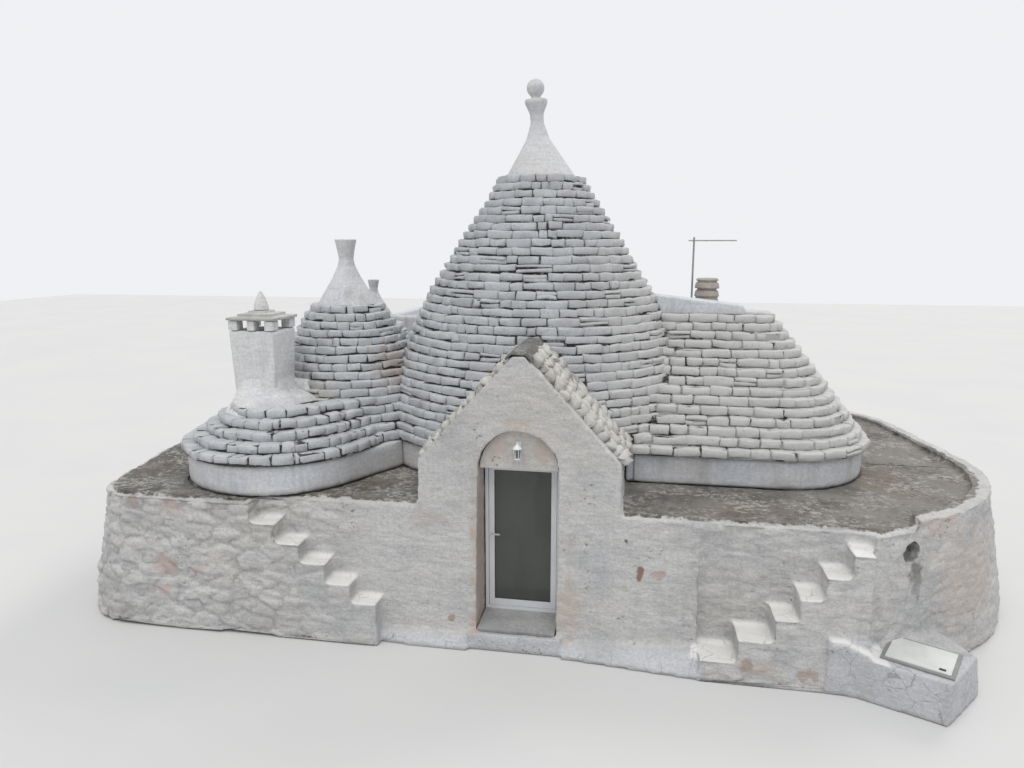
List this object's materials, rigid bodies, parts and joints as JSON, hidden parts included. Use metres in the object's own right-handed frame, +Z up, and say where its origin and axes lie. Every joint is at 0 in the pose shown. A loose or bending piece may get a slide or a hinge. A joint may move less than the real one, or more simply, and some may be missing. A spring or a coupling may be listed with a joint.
{
  "type": "trullo house",
  "caption": "Dry stone trullo house: tall stepped cone, side cone with chimney lobe, hipped wing, gabled porch with glazed door, thick limewashed base wall with terrace and wall stairs.",
  "frame": {"origin": "on the ground, at the centre of the main round room", "axes": "+X runs to the right along the front wall, +Y from the front to the back, +Z up"},
  "size_m": [13.69, 10.07, 8.0577],
  "materials": {
    "wall_limewash": "limewashed rubble, matt",
    "roof_stone": "whitewashed dry stone slabs with dark open joints",
    "white_plaster": "limewashed plaster, matt, slightly mottled",
    "inner_masonry": "bare limestone masonry",
    "floor_stone": "honed grey stone",
    "dark_stone": "weathered stone with dark lichen",
    "white_aluminium": "satin white powder coat",
    "door_glass": "clear glass before a dark room",
    "satin_metal": "satin",
    "flue_concrete": "cast concrete, matt",
    "aerial_metal": "weathered",
    "lid_paint": "white paint"
  },
  "bodies": {
    "house": {"front_wall_left": "wall_limewash", "front_wall_right": "wall_limewash", "rear_wall_left": "wall_limewash", "rear_wall_right": "wall_limewash", "left_wing_front_wall": "wall_limewash", "left_wing_rear_wall": "wall_limewash", "right_wing_front_wall": "wall_limewash", "right_wing_rear_wall": "wall_limewash", "room_floor": "floor_stone", "terrace_paving": "dark_stone", "wall_coping": "white_plaster", "porch_left_pier": "wall_limewash", "porch_right_pier": "wall_limewash", "porch_gable": "wall_limewash", "porch_lunette": "white_plaster", "porch_roof": "roof_stone", "porch_ridge": "dark_stone", "door_frame": "white_aluminium", "door_hinges": "white_aluminium", "door_sill": "floor_stone", "doorstep": "white_plaster", "wall_lantern": "white_aluminium", "main_drum": "white_plaster", "main_dome": "inner_masonry", "main_roof": "roof_stone", "main_cap": "white_plaster", "main_pinnacle": "white_plaster", "side_drum": "white_plaster", "side_roof": "roof_stone", "lobe_roof": "roof_stone", "side_cap": "white_plaster", "rear_cone": "roof_stone", "rear_cone_cap": "white_plaster", "chimney_stack": "white_plaster", "chimney_shoulder": "white_plaster", "chimney_piers": "white_plaster", "chimney_slabs": "dark_stone", "chimney_finial": "white_plaster", "wing_drum": "white_plaster", "wing_roof": "roof_stone", "wing_crest": "white_plaster", "flue_cowl": "flue_concrete", "aerial_mast": "aerial_metal", "aerial_boom": "aerial_metal", "rear_room_walls": "white_plaster", "rear_room_roof": "white_plaster", "front_kerb": "white_plaster", "left_stair": "wall_limewash", "left_treads": "white_plaster", "right_stair": "wall_limewash", "right_treads": "white_plaster", "cistern_block": "white_plaster", "cistern_lid": "lid_paint"},
    "door": {"door_leaf": "white_aluminium", "door_glass": "door_glass"},
    "lever": {"door_handle": "satin_metal"}
  },
  "joints": [
    {"name": "door_hinge", "type": "hinge", "parent": "house", "child": "door", "pos_m": [0.677, -3.0992, 0.26], "axis": [0, 0, -1], "range_deg": [0, 90]},
    {"name": "lever_turn", "type": "hinge", "parent": "door", "child": "lever", "pos_m": [-0.2365, -3.136, 1.39], "axis": [0, 1, 0], "range_deg": [0, 40], "stiffness_Nm_per_rad": 1.5, "springref_deg": -8.59}
  ]
}
